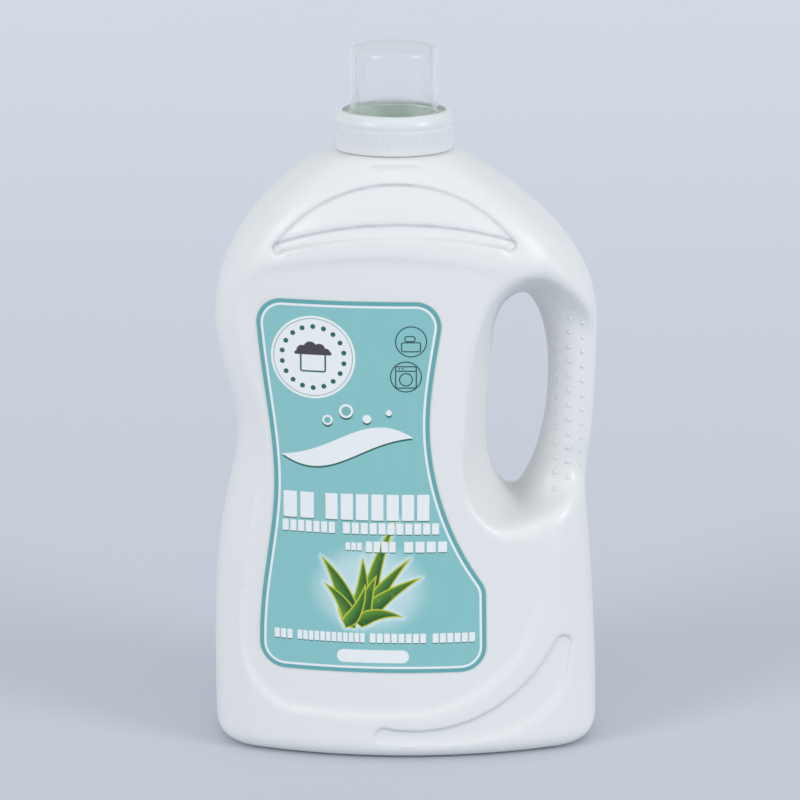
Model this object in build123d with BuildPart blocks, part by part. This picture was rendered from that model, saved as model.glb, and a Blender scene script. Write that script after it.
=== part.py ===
"""Laundry detergent bottle with a built-in handle and a clear dosing cap.

Frame: millimetres, origin on the floor under the middle of the bottle, +Z up,
the printed front label faces -Y and the handle is at +X.
"""
from build123d import *
import os
from math import sqrt

# ---------------------------------------------------------------- whole bottle
body_width = 182.6        # widest, across the base
body_depth = 102.0        # front to back
shoulder_top = 282.0      # height where the body ends and the neck starts
wall = 1.2                # blown wall
front_radius = 205.0      # bow of the front and back faces, seen from above
side_bow = 6.0            # how far the narrow sides bulge, seen from above
corner_radius = 27.0      # vertical corners
corner_limit = 0.9        # most of half the narrow side that a corner may take up
base_round = 9.0          # edge between the base and the walls
standing_ring = 5.0       # flat width that the bottle stands on
push_up = 3.0             # how far the middle of the base is pushed in

# --------------------------------------------------------------- narrow sides
waist_height = 152.0      # where the left side is drawn in
widest_height = 205.0     # where the shoulder starts to close on the sides
front_top = 232.0         # where the shoulder starts to close on front and back
# height, then how far the left and the right side stand inside the full width
side_stations = [
    (0.0, 0.3, 0.2),
    (13.0, 0.1, 0.1),
    (28.0, 0.0, 0.4),
    (45.0, 0.1, 1.1),
    (63.0, 0.5, 2.1),
    (82.0, 1.5, 3.3),
    (105.0, 4.1, 5.2),
    (128.0, 8.7, 6.6),
    (waist_height, 12.0, 5.4),
    (178.0, 6.7, 3.4),
    (widest_height, 2.1, 1.8),
]
shoulder_shares = [0.35, 0.55, 0.72, 0.86, 0.95, 1.0]
left_fall = 0.78          # how fast the left shoulder falls away
right_fall = 1.0          # the right shoulder is a plain parabola
front_fall = 0.62

# ------------------------------------------------------------------------ neck
neck_x = -5.7             # the neck stands a little left of the middle
neck_height = 16.0        # from the shoulder up to the top face of the neck
neck_radius = 24.3
neck_wall = 2.3

# ------------------------------------------------------------------- recesses
panel_step = 1.5          # depth of the label panel
step = 1.2                # depth of each step in the shoulder and corner recesses

# --------------------------------------------------------------------- handle
handle_depth = 18.0       # half of the handle's thickness, front to back
# height of the handle's round sections, how far their inner and their outer side stand
# inside the full width on the right, and their half depth
handle_stations = [
    (106.0, 47.3, 9.3, handle_depth + 6.0),
    (121.0, 38.3, 7.2, handle_depth + 2.5),
    (136.0, 31.3, 5.1, handle_depth),
    (152.0, 26.9, 3.6, handle_depth),
    (170.0, 24.9, 2.5, handle_depth),
    (187.0, 25.3, 2.1, handle_depth),
    (202.0, 28.3, 2.2, handle_depth + 1.0),
    (215.0, 34.8, 4.3, handle_depth + 4.0),
    (228.0, 43.3, 9.5, handle_depth + 9.0),
]
bay_reach = -8.7          # the finger bay is cut out past the side of the bottle
bay_overrun = 6.0         # its front outline lies this far in front of the bottle
# outline of the finger bay in the middle plane, and in the plane before the bottle:
# how far each point stands inside the full width on the right, and its height
bay_middle = [
    (bay_reach, 130.0), (15.3, 125.5), (41.3, 120.0), (50.9, 133.0), (52.7, 155.0),
    (50.3, 193.0), (44.3, 210.0), (35.3, 214.5), (13.3, 205.0), (bay_reach, 188.0),
]
bay_front = [
    (bay_reach, 124.0), (15.3, 120.5), (48.3, 107.5), (62.3, 119.0), (67.8, 152.0),
    (62.3, 198.0), (48.3, 228.0), (34.3, 236.0), (11.3, 224.0), (bay_reach, 204.0),
]

# ------------------------------------------------------------------------- cap
thread_room = 1.75        # between the neck and the skirt of the cap, for the threads
cap_wall = 1.4
cap_gap = 0.7             # from the body's shoulder up to the lower edge of the skirt
cap_round = 3.6           # rounded edge of the cap's shoulder
collar_ledge = 0.55       # how far the body's shoulder stands out under the skirt
cup_clearance = 1.8       # between the cup's sleeve and the bore of the neck
cup_wall = 1.2
cup_round = 4.6
cup_height = 32.0         # from the neck's top face up to the closed end of the cup
sleeve_length = 13.5      # how far the pouring rim of the cup hangs below the neck's top

# ------------------------------------------------------------------------ seal
seal_thickness = 1.0
seal_clearance = 0.3      # to the cup's sleeve and to the inside of the skirt

# ---------------------------------------------------------------------- labels
film = 0.1                # thickness of the label film
label_top = 220.5
label_bottom = 43.2
label_corner = 12.0

# --------------------------------------------------------------- worked-out sizes
half_width = body_width / 2
half_depth = body_depth / 2
far = 2 * body_depth      # reach of cutting tools, past every face
# the cap follows the neck, and the body's shoulder follows the cap
neck_bore = neck_radius - neck_wall
neck_land = shoulder_top + neck_height
skirt_bore = neck_radius + thread_room
cap_radius = skirt_bore + cap_wall
cup_radius = neck_bore - cup_clearance
cup_bore = cup_radius - cup_wall
shoulder_radius = cap_radius + collar_ledge
seal_top = neck_land + seal_thickness
cap_bottom = shoulder_top + cap_gap
cap_deck = seal_top + cap_wall
cap_top = neck_land + cup_height
sleeve_bottom = neck_land - sleeve_length
# the top section of the shoulder is a square of arcs that comes close to a circle
collar_bow = 1.25 * shoulder_radius
collar_bulge = 0.25 * shoulder_radius
collar_corner = 0.62 * shoulder_radius
# the faces of the label panels are upright cylinders, one step inside the bowed faces
bow_centre = front_radius - half_depth
panel_radius = front_radius - panel_step


# ------------------------------------------------------------------------ body
def fall(share, power):
    """How much of the reach is left at this share of the shoulder's height."""
    return max(0.0, 1.0 - share ** 2) ** power


def shoulder_station(share):
    """Height, left, right, half depth and roundness at a share of the shoulder's height."""
    z = widest_height + share * (shoulder_top - widest_height)
    front_share = max(0.0, (z - front_top) / (shoulder_top - front_top))
    left_reach = half_width - side_stations[-1][1] + neck_x - shoulder_radius
    right_reach = half_width - side_stations[-1][2] - neck_x - shoulder_radius
    left = neck_x - shoulder_radius - left_reach * fall(share, left_fall)
    right = neck_x + shoulder_radius + right_reach * fall(share, right_fall)
    depth = shoulder_radius + (half_depth - shoulder_radius) * fall(front_share, front_fall)
    return z, left, right, depth, share


def body_stations():
    """Every level of the body, from the base up to the collar under the cap."""
    lower = [(z, a - half_width, half_width - b, half_depth, 0.0) for z, a, b in side_stations]
    return lower + [shoulder_station(share) for share in shoulder_shares]


def level_section(z, left, right, depth, roundness, inset):
    """One level of the body: four bowed sides and rounded corners, drawn in by inset."""
    near = 1.0 - roundness ** 2
    bow = collar_bow + (front_radius - collar_bow) * near
    middle = (left + right) / 2
    reach = (right - left) / 2 - side_bow - (collar_bulge - side_bow) * roundness
    cheek = depth - bow + sqrt(bow ** 2 - reach ** 2)
    round_off = min(corner_radius + (collar_corner - corner_radius) * roundness, corner_limit * cheek)
    a = middle - reach
    b = middle + reach
    with BuildSketch(Plane.XY.offset(z)) as level:
        with BuildLine():
            ThreePointArc((a, -cheek), (middle, -depth), (b, -cheek))
            ThreePointArc((b, -cheek), (right, 0), (b, cheek))
            ThreePointArc((b, cheek), (middle, depth), (a, cheek))
            ThreePointArc((a, cheek), (left, 0), (a, -cheek))
        make_face()
        fillet(level.vertices(), round_off)
        if inset > 0:
            offset(amount=-inset, kind=Kind.ARC, mode=Mode.REPLACE)
    return level.sketch


def body_form(inset):
    """The closed outer form of the body, drawn in by inset on every side."""
    levels = []
    for z, left, right, depth, roundness in body_stations():
        height = max(z, inset) - inset * roundness
        levels.append(level_section(height, left, right, depth, roundness, inset))
    with BuildPart() as form:
        loft(sections=levels)
        fillet(form.faces().sort_by(Axis.Z)[0].edges(), base_round - inset)
        edge = standing_ring + base_round - inset
        for rise in (-push_up, push_up):
            with BuildSketch(Plane.XY.offset(inset + rise)):
                Ellipse(half_width - edge - rise, half_depth - edge - rise)
        loft(mode=Mode.SUBTRACT)
    return form.part


# ------------------------------------------------------------- handle and bay
def bay_outline(points, y, grow):
    """Face of the finger bay in the plane at depth y, its points moved outwards by grow."""
    corners = [Vector(half_width - inset, z) for inset, z in points]
    middle = sum(corners, Vector(0, 0)) / len(corners)
    moved = [corner + (corner - middle).normalized() * grow for corner in corners]
    with BuildSketch(Plane.XZ.offset(-y)) as face:
        with BuildLine():
            edge = Spline(*moved)
            Line(edge @ 1, edge @ 0)
        make_face()
    return face.sketch


def finger_bay(grow):
    """Front half of the room for the fingers: narrow in the middle, wide at the front."""
    with BuildPart() as bay:
        middle = bay_outline(bay_middle, 0.0, grow)
        front = bay_outline(bay_front, -half_depth - bay_overrun, grow)
        loft(sections=[middle, front], ruled=True)
    return bay.part


def handle_tube(inset):
    """The round handle, from inside the lower body to inside the shoulder."""
    rings = []
    for z, inner, outer, depth in handle_stations:
        with BuildSketch(Plane.XY.offset(z)) as ring:
            with Locations((half_width - (inner + outer) / 2, 0)):
                Ellipse((inner - outer) / 2 - inset, depth - inset)
        rings.append(ring.sketch)
    with BuildPart() as tube:
        loft(sections=rings)
    return tube.part


# ------------------------------------------------------------------- recesses
def front_prism(outline):
    """A block with the given outline, from the middle plane out past the front."""
    with BuildPart() as prism:
        with BuildSketch(Plane.XZ):
            add(outline)
        extrude(amount=far)
    return prism.part


def backing_outline(outline):
    """A plain rectangle round an outline, for the inside of the wall behind it."""
    box = outline.bounding_box()
    with BuildSketch() as backing:
        with Locations((box.center().X, box.center().Y)):
            Rectangle(box.size.X + 2 * wall, box.size.Y + 2 * wall)
    return backing.sketch


def panel_outline():
    """Label panel: bowed at the top, drawn in at the waist, round at the lower right."""
    with BuildSketch() as panel:
        with BuildLine():
            Spline((-76.0, 212.0), (-73.0, 180.0), (-68.2, 148.0), (-73.0, 98.0), (-77.0, 65.0),
                   (-73.5, 40.0), (-62.0, 26.5), (-46.0, 23.0))
            ThreePointArc((-46.0, 23.0), (-19.0, 21.8), (9.0, 22.8))
            Spline((9.0, 22.8), (32.0, 31.0), (53.0, 50.0), (63.5, 78.0), (65.5, 108.0))
            Line((65.5, 108.0), (49.0, 231.5))
            ThreePointArc((49.0, 231.5), (-10.0, 240.5), (-62.0, 234.0))
            Spline((-62.0, 234.0), (-72.0, 228.0), (-76.0, 212.0))
        make_face()
    return panel.sketch


def crescent_outline():
    """Recess across the front of the shoulder."""
    with BuildSketch() as crescent:
        with BuildLine():
            ThreePointArc((-61.0, 243.5), (-6.0, 272.7), (50.0, 245.5))
            ThreePointArc((50.0, 245.5), (49.0, 242.6), (44.5, 243.2))
            ThreePointArc((44.5, 243.2), (-4.0, 249.0), (-56.0, 241.8))
            ThreePointArc((-56.0, 241.8), (-60.4, 241.2), (-61.0, 243.5))
        make_face()
    return crescent.sketch


def ledge_outline():
    """The lower, deeper strip of the shoulder recess."""
    with BuildSketch() as ledge:
        with BuildLine():
            ThreePointArc((-58.0, 246.0), (-6.0, 255.7), (47.0, 247.4))
            Polyline((47.0, 247.4), (60.0, 230.0), (-70.0, 230.0), (-58.0, 246.0))
        make_face()
        add(crescent_outline(), mode=Mode.INTERSECT)
    return ledge.sketch


def corner_outline():
    """Sickle-shaped recess that runs round the lower right corner."""
    with BuildSketch() as sickle:
        with BuildLine():
            ThreePointArc((-11.0, 16.8), (44.0, 27.0), (70.0, 56.5))
            ThreePointArc((70.0, 56.5), (75.0, 57.5), (77.2, 50.0))
            Spline((77.2, 50.0), (73.5, 31.5), (57.0, 14.8), (32.0, 8.6), (6.0, 7.8), (-9.0, 8.0))
            ThreePointArc((-9.0, 8.0), (-15.0, 12.5), (-11.0, 16.8))
        make_face()
    return sickle.sketch


def panel_tool(outline, radius):
    """What lies in front of an upright cylinder within an outline."""
    with BuildPart() as tool:
        add(front_prism(outline))
        with BuildSketch():
            with Locations((0, bow_centre)):
                Circle(radius)
        extrude(amount=far * 2, mode=Mode.SUBTRACT)
    return tool.part


def recess_tool(outline, depth):
    """What lies within an outline and less than depth below the face of the body."""
    with BuildPart() as tool:
        add(front_prism(outline))
        add(body_form(depth), mode=Mode.SUBTRACT)
    return tool.part


# --------------------------------------------------------------------- labels
def label_outline():
    """Front label: straight top and bottom, drawn in sides, wide foot on the right."""
    with BuildSketch() as label:
        with BuildLine():
            Line((-69.5, label_top), (18.0, label_top))
            Spline((18.0, label_top), (13.0, 189.0), (10.7, 163.0), (16.0, 127.0), (37.0, 84.0))
            Line((37.0, 84.0), (37.6, label_bottom))
            Line((37.6, label_bottom), (-68.0, label_bottom))
            Spline((-68.0, label_bottom), (-66.8, 82.0), (-61.0, 131.0), (-65.6, 182.0),
                   (-69.5, label_top))
        make_face()
        fillet(label.vertices(), label_corner)
    return label.sketch


def label_film():
    """The label's film, bent to the floor of the panel that carries it."""
    with BuildPart() as skin:
        add(front_prism(label_outline()))
        with BuildSketch() as ring:
            with Locations((0, bow_centre)):
                Circle(panel_radius + film)
                Circle(panel_radius, mode=Mode.SUBTRACT)
        extrude(amount=far * 2, mode=Mode.INTERSECT)
    return skin.part


# --------------------------------------------------------------------- bottle
outer_form = body_form(0.0)
inner_form = body_form(wall)
outer_bay = finger_bay(0.0)
inner_bay = finger_bay(wall)
outer_tube = handle_tube(0.0)
inner_tube = handle_tube(wall)
cuts = [
    panel_tool(panel_outline(), panel_radius),
    recess_tool(crescent_outline(), step),
    recess_tool(ledge_outline(), 2 * step),
    recess_tool(corner_outline(), step),
]
backings = [
    panel_tool(backing_outline(panel_outline()), panel_radius - wall),
    recess_tool(backing_outline(crescent_outline()), 2 * step + wall),
    recess_tool(backing_outline(corner_outline()), step + wall),
]

# the bottle is worked out for its front half and mirrored at the mould's parting plane
with BuildPart() as cavity:
    add(inner_form)
    for backing in backings:
        add(backing, mode=Mode.SUBTRACT)
    add(inner_bay, mode=Mode.SUBTRACT)
    add(inner_tube)

with BuildPart() as bottle:
    add(outer_form)
    for cut in cuts:
        add(cut, mode=Mode.SUBTRACT)
    add(outer_bay, mode=Mode.SUBTRACT)
    add(outer_tube)
    with BuildSketch(Plane.XY.offset(shoulder_top - wall)):
        with Locations((neck_x, 0)):
            Circle(neck_radius)
    extrude(amount=neck_land - shoulder_top + wall)
    add(cavity.part, mode=Mode.SUBTRACT)
    with BuildSketch(Plane.XY.offset(neck_land)):
        with Locations((neck_x, 0)):
            Circle(neck_bore)
    extrude(amount=shoulder_top - neck_land - 3 * wall, mode=Mode.SUBTRACT)
    split(bisect_by=Plane.XZ, keep=Keep.TOP)
    mirror(about=Plane.XZ)
bottle.part.label = "bottle"

# ------------------------------------------------------------------ seal ring
with BuildPart() as seal_ring:
    with BuildSketch(Plane.XY.offset(neck_land)):
        with Locations((neck_x, 0)):
            Circle(skirt_bore - seal_clearance)
            Circle(cup_radius + seal_clearance, mode=Mode.SUBTRACT)
    extrude(amount=seal_thickness)
seal_ring.part.label = "seal_ring"

# ----------------------------------------------------------------- dosing cap
upright_through_neck = Plane((neck_x, 0, 0), x_dir=(1, 0, 0), z_dir=(0, -1, 0))

with BuildPart() as dosing_cap:
    with BuildSketch(upright_through_neck):
        with BuildLine():
            Line((cup_bore, sleeve_bottom), (cup_radius, sleeve_bottom))
            Line((cup_radius, sleeve_bottom), (cup_radius, seal_top))
            Line((cup_radius, seal_top), (skirt_bore, seal_top))
            Line((skirt_bore, seal_top), (skirt_bore, cap_bottom))
            Line((skirt_bore, cap_bottom), (cap_radius, cap_bottom))
            Line((cap_radius, cap_bottom), (cap_radius, cap_deck - cap_round))
            RadiusArc((cap_radius, cap_deck - cap_round), (cap_radius - cap_round, cap_deck), -cap_round)
            Line((cap_radius - cap_round, cap_deck), (cup_radius, cap_deck))
            Line((cup_radius, cap_deck), (cup_radius, cap_top - cup_round))
            RadiusArc((cup_radius, cap_top - cup_round), (cup_radius - cup_round, cap_top), -cup_round)
            Line((cup_radius - cup_round, cap_top), (0, cap_top))
            Line((0, cap_top), (0, cap_top - cup_wall))
            Line((0, cap_top - cup_wall), (cup_radius - cup_round, cap_top - cup_wall))
            RadiusArc((cup_radius - cup_round, cap_top - cup_wall), (cup_bore, cap_top - cup_round),
                      cup_round - cup_wall)
            Line((cup_bore, cap_top - cup_round), (cup_bore, sleeve_bottom))
        make_face()
    revolve(axis=Axis((neck_x, 0, 0), (0, 0, 1)))
dosing_cap.part.label = "dosing_cap"

# --------------------------------------------------------- front and back label
with BuildPart() as front_label:
    add(label_film())
front_label.part.label = "front_label"

with BuildPart() as back_label:
    add(label_film().mirror(Plane.XZ))
back_label.part.label = "back_label"

# ------------------------------------------------------------------------ files
os.makedirs("parts", exist_ok=True)
export_step(bottle.part, "parts/bottle.step")
export_step(seal_ring.part, "parts/seal_ring.step")
export_step(dosing_cap.part, "parts/dosing_cap.step")
export_step(front_label.part, "parts/front_label.step")
export_step(back_label.part, "parts/back_label.step")
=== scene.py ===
# %% [markdown]
# # A laundry detergent bottle, finished around its construction model
#
# The construction model brings five pieces at their real size: the blown bottle, the clear
# dosing cap, the sealing ring and two film labels. Blender adds what makes them look made:
# soft blown edges, grip dots, fine ribs and threads, printed film and soft studio light.

# %% Load the construction model
import bpy
import bmesh
import math
import numpy as np
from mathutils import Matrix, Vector
from mathutils.bvhtree import BVHTree


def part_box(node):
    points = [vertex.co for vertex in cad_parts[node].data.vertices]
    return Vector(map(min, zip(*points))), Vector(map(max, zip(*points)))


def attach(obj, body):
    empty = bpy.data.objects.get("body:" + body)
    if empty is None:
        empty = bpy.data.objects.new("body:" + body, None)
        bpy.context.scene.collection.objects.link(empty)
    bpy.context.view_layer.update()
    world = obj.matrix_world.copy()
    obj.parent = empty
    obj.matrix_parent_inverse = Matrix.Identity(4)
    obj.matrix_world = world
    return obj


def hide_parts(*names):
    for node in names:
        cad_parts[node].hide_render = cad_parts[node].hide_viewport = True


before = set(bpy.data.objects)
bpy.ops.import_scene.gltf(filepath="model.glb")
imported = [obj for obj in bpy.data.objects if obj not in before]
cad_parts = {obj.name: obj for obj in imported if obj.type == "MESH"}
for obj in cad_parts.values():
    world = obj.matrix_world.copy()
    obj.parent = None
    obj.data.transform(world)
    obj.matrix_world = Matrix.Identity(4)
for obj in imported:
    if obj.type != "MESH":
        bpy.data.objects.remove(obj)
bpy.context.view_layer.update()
MM = 0.001
print("pieces:", sorted(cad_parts))

# %% Read the places that everything else is worked out from
cap_low, cap_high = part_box("dosing_cap")
ring_low, ring_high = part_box("seal_ring")
_, bottle_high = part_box("bottle")
label_low, label_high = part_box("front_label")

neck_x = (cap_low.x + cap_high.x) / 2 / MM
neck_land = bottle_high.z / MM
cap_top = cap_high.z / MM
cap_radius = (cap_high.x - cap_low.x) / 2 / MM
half_depth = bottle_high.y / MM
label_top = label_high.z / MM
label_bottom = label_low.z / MM
print(f"neck axis at x = {neck_x:.1f} mm, neck top at {neck_land:.1f} mm, cap radius {cap_radius:.2f} mm")

# %% Sizes that the box of a piece doesn't show, in millimetres
neck_radius = 24.3
neck_bore = 22.0
cap_wall = 1.4
cup_radius = 20.2
cup_wall = 1.2
cup_bore = cup_radius - cup_wall
seal_top = ring_high.z / MM
cap_deck = seal_top + cap_wall
crease_height = 279.4
panel_step = 1.5
print(f"the cap's deck is at {cap_deck:.1f} mm and its cup is {2 * cup_bore:.1f} mm wide inside")

# %% [markdown]
# ## Camera
#
# A pack shot is taken from a little above with a long lens, which keeps the upright sides
# of the bottle nearly parallel. The camera stands in front of the label and looks down by
# about fifteen degrees. The Standard view keeps the whites as bright as the light makes them.

# %% Set up the camera
camera_data = bpy.data.cameras.new("pack_shot_camera")
camera_data.lens = 145.8
camera_data.sensor_width = 36.0
camera_data.clip_end = 50.0
camera = bpy.data.objects.new("pack_shot_camera", camera_data)
camera.location = (-2.91 * MM, -1475 * MM, 550 * MM)
camera.rotation_euler = (math.radians(90 - 14.75), 0, 0)
bpy.context.scene.collection.objects.link(camera)
bpy.context.scene.camera = camera
bpy.context.scene.view_settings.view_transform = "Standard"
print(f"the camera is {camera.location.length:.3f} m from the foot of the bottle")

# %% [markdown]
# ## Shader maths as plain expressions
#
# A material's pattern is a calculation for every point of the surface. Written as Python
# expressions it is easier to read than a web of boxes, so a small class wraps a socket:
# adding or multiplying wrapped sockets puts the right Math node into the material.


# %% A number that can be used in sums
class Value:
    """One number that varies over a surface."""

    def __init__(self, finish, socket):
        self.finish = finish
        self.socket = socket

    def math(self, operation, *numbers):
        return self.finish.node("ShaderNodeMath", {"operation": operation}, dict(enumerate(numbers)))

    def __add__(self, other):
        return self.math("ADD", self, other)

    def __sub__(self, other):
        return self.math("SUBTRACT", self, other)

    def __rsub__(self, other):
        return self.math("SUBTRACT", other, self)

    def __mul__(self, other):
        return self.math("MULTIPLY", self, other)

    def __truediv__(self, other):
        return self.math("DIVIDE", self, other)

    def __pow__(self, other):
        return self.math("POWER", self, other)

    def __mod__(self, other):
        return self.math("FLOORED_MODULO", self, other)

    def __abs__(self):
        return self.math("ABSOLUTE", self)

    def smaller(self, other):
        return self.math("MINIMUM", self, other)

    def larger(self, other):
        return self.math("MAXIMUM", self, other)

    def sine(self):
        return self.math("SINE", self)

    __radd__ = __add__
    __rmul__ = __mul__


# %% A material whose nodes are made by one method
class Finish:
    """A material built around one Principled shader."""

    def __init__(self, name, **constants):
        self.material = bpy.data.materials.new(name)
        self.material.use_nodes = True
        self.tree = self.material.node_tree
        self.shader = self.tree.nodes["Principled BSDF"]
        for socket, value in constants.items():
            self.shader.inputs[socket.replace("_", " ")].default_value = value

    def node(self, kind, settings, inputs, output=0):
        """Add a node: its settings first, then the values and links of its sockets."""
        made = self.tree.nodes.new(kind)
        for name, value in settings.items():
            setattr(made, name, value)
        for name, value in inputs.items():
            if isinstance(value, Value):
                self.tree.links.new(value.socket, made.inputs[name])
            elif made.inputs[name].type == "RGBA":
                made.inputs[name].default_value = (*value, 1.0)
            else:
                made.inputs[name].default_value = value
        return Value(self, made.outputs[output])

    def where(self):
        """The point's place on the piece, as a vector in metres."""
        return self.node("ShaderNodeTexCoord", {}, {}, "Object")

    def axes(self):
        """The point's place as three numbers, in millimetres."""
        split = self.node("ShaderNodeSeparateXYZ", {}, {0: self.where()}).socket.node
        return [Value(self, output) / MM for output in split.outputs]

    def noise(self, scale, detail=3.0, roughness=0.5, stretch=(1, 1, 1)):
        """Cloudy noise from 0 to 1, with scale in features for each metre."""
        place = self.node("ShaderNodeVectorMath", {"operation": "MULTIPLY"}, {0: self.where(), 1: stretch})
        inputs = {"Vector": place, "Scale": scale, "Detail": detail, "Roughness": roughness}
        return self.node("ShaderNodeTexNoise", {}, inputs)

    def stored(self, name):
        """A number stored on every point of the mesh."""
        return self.node("ShaderNodeAttribute", {"attribute_name": name}, {}, "Fac")

    def blend(self, share, first, second):
        """A colour that goes from the first to the second as share goes from 0 to 1."""
        settings = {"data_type": "RGBA", "clamp_factor": True}
        return self.node("ShaderNodeMix", settings, {0: share, 6: first, 7: second}, 2)

    def rise(self, value, start, end):
        """0 below start and 1 above end, with a soft change between them."""
        inputs = {0: value, 1: start, 2: end, 3: 0.0, 4: 1.0}
        return self.node("ShaderNodeMapRange", {"interpolation_type": "SMOOTHSTEP"}, inputs)

    def inside(self, distance, soft=0.16):
        """1 where a signed distance in millimetres is negative, 0 outside."""
        return 1 - self.rise(distance, -soft, soft)

    def paint(self, socket, value):
        self.tree.links.new(value.socket, self.shader.inputs[socket])

    def bump(self, height, distance, strength=1.0):
        inputs = {"Height": height, "Distance": distance, "Strength": strength}
        self.paint("Normal", self.node("ShaderNodeBump", {}, inputs))


# %% [markdown]
# ## Plain plastics
#
# Blown polyethylene is a waxy white: light goes a little way in and comes out softened, and
# the surface carries the fine blasted grain of its mould. The cap is clear polypropylene,
# which is never as clear as glass: its thick skirt and the edges of its cup look milky, so
# a white shader is mixed in there. The sealing ring is foamed sheet with open cells.


# %% White blown polyethylene
def blown_plastic():
    finish = Finish("blown_white_polyethylene", IOR=1.5, Subsurface_Weight=0.15, Subsurface_Scale=0.003,
                    Subsurface_Radius=(1.0, 0.97, 0.94))
    grain = finish.noise(2400.0, 2.0, 0.6)
    orange_peel = finish.noise(300.0, 2.0)
    clouds = finish.noise(16.0, 2.0)
    finish.paint("Base Color", finish.blend(clouds, (0.725, 0.735, 0.74), (0.755, 0.76, 0.76)))
    finish.paint("Roughness", 0.30 + 0.10 * finish.noise(90.0, 3.0) + 0.05 * grain)
    rim = finish.rise(finish.stored("recess_edge"), -1.5, 0.5)
    drop = finish.stored("ledge_edge")
    ledge_floor = finish.rise(drop, -1.5, 0.3).larger(finish.rise(drop * -1.0, 2.0, 7.0))
    walls = 0.65 * rim + 0.65 * ledge_floor.larger(rim)
    x, y, z = finish.axes()
    level = finish.inside(abs(z - crease_height) - 0.2, 0.9)
    crease = level * finish.inside(abs(x - neck_x) - 11, 4) * finish.inside(y)
    relief = walls - 0.7 * crease + 0.015 * grain + 0.024 * orange_peel
    finish.bump(relief, MM)
    return finish.material


white_plastic = blown_plastic()
print(white_plastic.name)


# %% The neck: the same plastic, with painted shade in its bore, green and darker deeper down
def neck_finish():
    finish = Finish("neck_polyethylene", IOR=1.5)
    x, y, z = finish.axes()
    radius = ((x - neck_x) ** 2 + y ** 2) ** 0.5
    bore = finish.inside(radius - (neck_bore + 0.6), 0.5)
    # Painted shade: the bore is painted green and darker deeper down, in place of the shaded inside lit
    # green by the contents.
    painted_bore_shade = finish.blend(finish.rise(z, neck_land - 14, neck_land), (0.52, 0.74, 0.64), (0.80, 0.92, 0.82))
    outside = finish.blend(finish.noise(30.0), (0.78, 0.81, 0.83), (0.83, 0.86, 0.87))
    finish.paint("Base Color", finish.blend(bore, outside, painted_bore_shade))
    finish.paint("Roughness", 0.35 + 0.12 * finish.noise(200.0))
    finish.bump(finish.noise(900.0), 0.00005, 0.4)
    return finish.material


neck_plastic = neck_finish()
print(neck_plastic.name)


# %% Clear polypropylene
def clear_plastic():
    finish = Finish("clear_polypropylene", IOR=1.22, Transmission_Weight=1.0, Alpha=0.32, Coat_Weight=1.0,
                    Coat_Roughness=0.08)
    clouds = finish.noise(60.0)
    finish.paint("Base Color", finish.blend(clouds, (0.975, 0.985, 0.985), (0.99, 0.995, 0.995)))
    finish.paint("Roughness", 0.05 + 0.06 * finish.noise(140.0, 3.0))
    finish.bump(finish.noise(150.0, 2.0), 0.00003, 0.3)
    milky = {"Base Color": (0.85, 0.87, 0.875), "Roughness": 0.25, "IOR": 1.45}
    milk = finish.node("ShaderNodeBsdfPrincipled", {}, milky)
    x, y, z = finish.axes()
    radius = ((x - neck_x) ** 2 + y ** 2) ** 0.5
    skirt = finish.inside(23.8 - radius, 0.5)
    cup_side = finish.inside(cup_bore - 0.3 - radius, 0.3) * finish.inside(radius - (cup_radius + 0.3), 0.2)
    cup_side = cup_side * finish.inside(cap_deck + 0.6 - z, 0.5)
    turned_away = finish.node("ShaderNodeLayerWeight", {}, {"Blend": 0.5}, "Facing")
    share = 0.02 + 0.72 * skirt + 0.55 * finish.rise(turned_away, 0.45, 0.95) * cup_side
    clear = Value(finish, finish.shader.outputs[0])
    mixed = finish.node("ShaderNodeMixShader", {}, {0: share, 1: clear, 2: milk})
    surface_output = finish.tree.nodes["Material Output"].inputs["Surface"]
    finish.tree.links.new(mixed.socket, surface_output)
    return finish.material


cap_plastic = clear_plastic()
print(cap_plastic.name)


# %% Foamed sealing sheet
def seal_foam():
    finish = Finish("foamed_seal", IOR=1.45)
    inputs = {"Vector": finish.where(), "Scale": 2200.0}
    cells = finish.node("ShaderNodeTexVoronoi", {"feature": "F1"}, inputs)
    finish.paint("Base Color", finish.blend(cells, (0.78, 0.90, 0.82), (0.86, 0.94, 0.87)))
    finish.paint("Roughness", 0.55 + 0.15 * finish.noise(300.0))
    finish.bump(cells, 0.00008, 0.5)
    return finish.material


foam = seal_foam()
print(foam.name)

# %% [markdown]
# ## The bottle's skin
#
# The construction solid has true steps at its recesses, but a blown bottle has no sharp
# edge anywhere: the plastic bridges every corner of the mould. Rebuilding the outer skin
# from small even squares and then smoothing it rounds all edges at once, as the blowing
# does. The inner wall is taken off first, because it is thinner than the squares.


# %% Take the outer skin from the construction solid
def outer_skin(node, land):
    """The faces outside the mouth of the bottle, closed by a plug in the neck."""
    mesh = bmesh.new()
    mesh.from_mesh(node.data)
    bmesh.ops.remove_doubles(mesh, verts=mesh.verts, dist=2e-6)
    rim = [face for face in mesh.faces if all(v.co.z > land - 2e-5 for v in face.verts)]
    bmesh.ops.delete(mesh, geom=rim, context="FACES")
    lowest = min(mesh.faces, key=lambda face: face.calc_center_median().z)
    found = {lowest}
    waiting = [lowest]
    while waiting:
        for edge in waiting.pop().edges:
            for neighbour in edge.link_faces:
                if neighbour not in found:
                    found.add(neighbour)
                    waiting.append(neighbour)
    bmesh.ops.delete(mesh, geom=[face for face in mesh.faces if face not in found], context="FACES")
    mouth = [edge for edge in mesh.edges if len(edge.link_faces) == 1]
    bmesh.ops.holes_fill(mesh, edges=mouth, sides=0)
    data = bpy.data.meshes.new("bottle_skin")
    mesh.to_mesh(data)
    mesh.free()
    return data


def add_piece(name, data, material, body):
    """An object that rides on a body and wears the material it is given."""
    piece = bpy.data.objects.new(name, data)
    bpy.context.scene.collection.objects.link(piece)
    data.materials.clear()
    data.materials.append(material)
    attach(piece, body)
    return piece


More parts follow.
